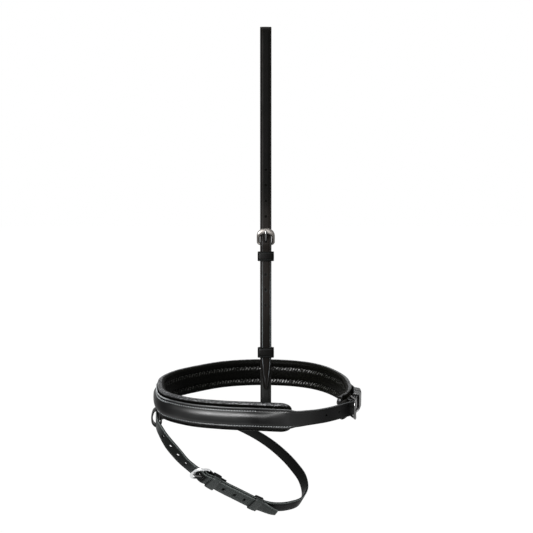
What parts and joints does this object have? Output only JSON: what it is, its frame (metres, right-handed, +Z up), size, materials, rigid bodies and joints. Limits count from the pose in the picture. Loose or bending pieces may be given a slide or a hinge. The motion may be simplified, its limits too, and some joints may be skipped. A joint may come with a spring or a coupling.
{
  "type": "flash noseband",
  "caption": "Padded leather noseband on a headpiece strap, with a separate flash strap threaded through a loop at its front and three buckles.",
  "frame": {"origin": "inside of the head strap's fold, where it hangs over the poll", "axes": "+Z up along the hanging head strap, +X from the nose to the chin, +Y from the horse's left side to its right side"},
  "size_m": [0.2506, 0.1827, 0.5886],
  "materials": {
    "bridle_leather": "semi-matt, black, smooth grain",
    "nose_leather": "glossy black, smooth grain",
    "flash_leather": "waxed black, semi-matt",
    "soft_lining": "soft matt black, fine pebbled grain",
    "backing_leather": "matt black, flesh side",
    "foam": "grey closed-cell foam",
    "filler": "undyed tan",
    "steel": "polished stainless steel"
  },
  "bodies": {
    "headpiece_and_noseband": {"head_strap": "bridle_leather", "near_cheek_strap": "bridle_leather", "head_fixed_keeper": "bridle_leather", "noseband_leather": "nose_leather", "nose_raised_filler": "filler", "nose_backing": "backing_leather", "nose_foam_pad": "foam", "nose_lining": "soft_lining", "chin_fixed_keeper": "nose_leather", "flash_loop": "nose_leather"},
    "flash": {"flash_strap": "flash_leather", "flash_fixed_keeper": "flash_leather"},
    "flash_frame": {"flash_buckle_frame": "steel"},
    "flash_tongue": {"flash_buckle_tongue": "steel"},
    "flash_runner": {"flash_running_keeper": "flash_leather"},
    "head_frame": {"head_buckle_frame": "steel"},
    "head_tongue": {"head_buckle_tongue": "steel"},
    "head_runner": {"head_running_keeper": "bridle_leather"},
    "chin_frame": {"chin_buckle_frame": "steel"},
    "chin_tongue": {"chin_buckle_tongue": "steel"},
    "chin_runner": {"chin_running_keeper": "nose_leather"}
  },
  "joints": [
    {"name": "flash_strap_swing", "type": "hinge", "parent": "headpiece_and_noseband", "child": "flash", "pos_m": [-0.12998, -0.00828, -0.45398], "axis": [-0.0206, -0.9997, -0.0126], "range_deg": [-3, 3]},
    {"name": "flash_frame_hinge", "type": "hinge", "parent": "flash", "child": "flash_frame", "pos_m": [-0.07251, -0.02717, -0.52071], "axis": [0.5678, -0.4518, 0.6881], "range_deg": [0, 6]},
    {"name": "flash_tongue_hinge", "type": "hinge", "parent": "flash_frame", "child": "flash_tongue", "pos_m": [-0.07251, -0.02717, -0.52071], "axis": [0.5678, -0.4518, 0.6881], "range_deg": [0, 6]},
    {"name": "flash_keeper_slide", "type": "slide", "parent": "flash", "child": "flash_runner", "axis": [0.8197, 0.2804, -0.4995], "range_m": [-0.003, 0.003]},
    {"name": "head_frame_hinge", "type": "hinge", "parent": "headpiece_and_noseband", "child": "head_frame", "pos_m": [0, -0.04722, -0.23537], "axis": [1, 0, 0], "range_deg": [0, 6]},
    {"name": "head_tongue_hinge", "type": "hinge", "parent": "head_frame", "child": "head_tongue", "pos_m": [0, -0.04722, -0.23537], "axis": [1, 0, 0], "range_deg": [0, 6]},
    {"name": "head_keeper_slide", "type": "slide", "parent": "headpiece_and_noseband", "child": "head_runner", "axis": [0, 0.179, 0.9839], "range_m": [-0.022, 0.085]},
    {"name": "chin_frame_hinge", "type": "hinge", "parent": "headpiece_and_noseband", "child": "chin_frame", "pos_m": [0.09893, -0.04354, -0.4278], "axis": [0, 0, 1], "range_deg": [0, 6]},
    {"name": "chin_tongue_hinge", "type": "hinge", "parent": "chin_frame", "child": "chin_tongue", "pos_m": [0.09893, -0.04354, -0.4278], "axis": [0, 0, 1], "range_deg": [0, 6]},
    {"name": "chin_keeper_slide", "type": "slide", "parent": "headpiece_and_noseband", "child": "chin_runner", "axis": [-0.0023, 1, 0], "range_m": [-0.0016, 0.003]}
  ]
}
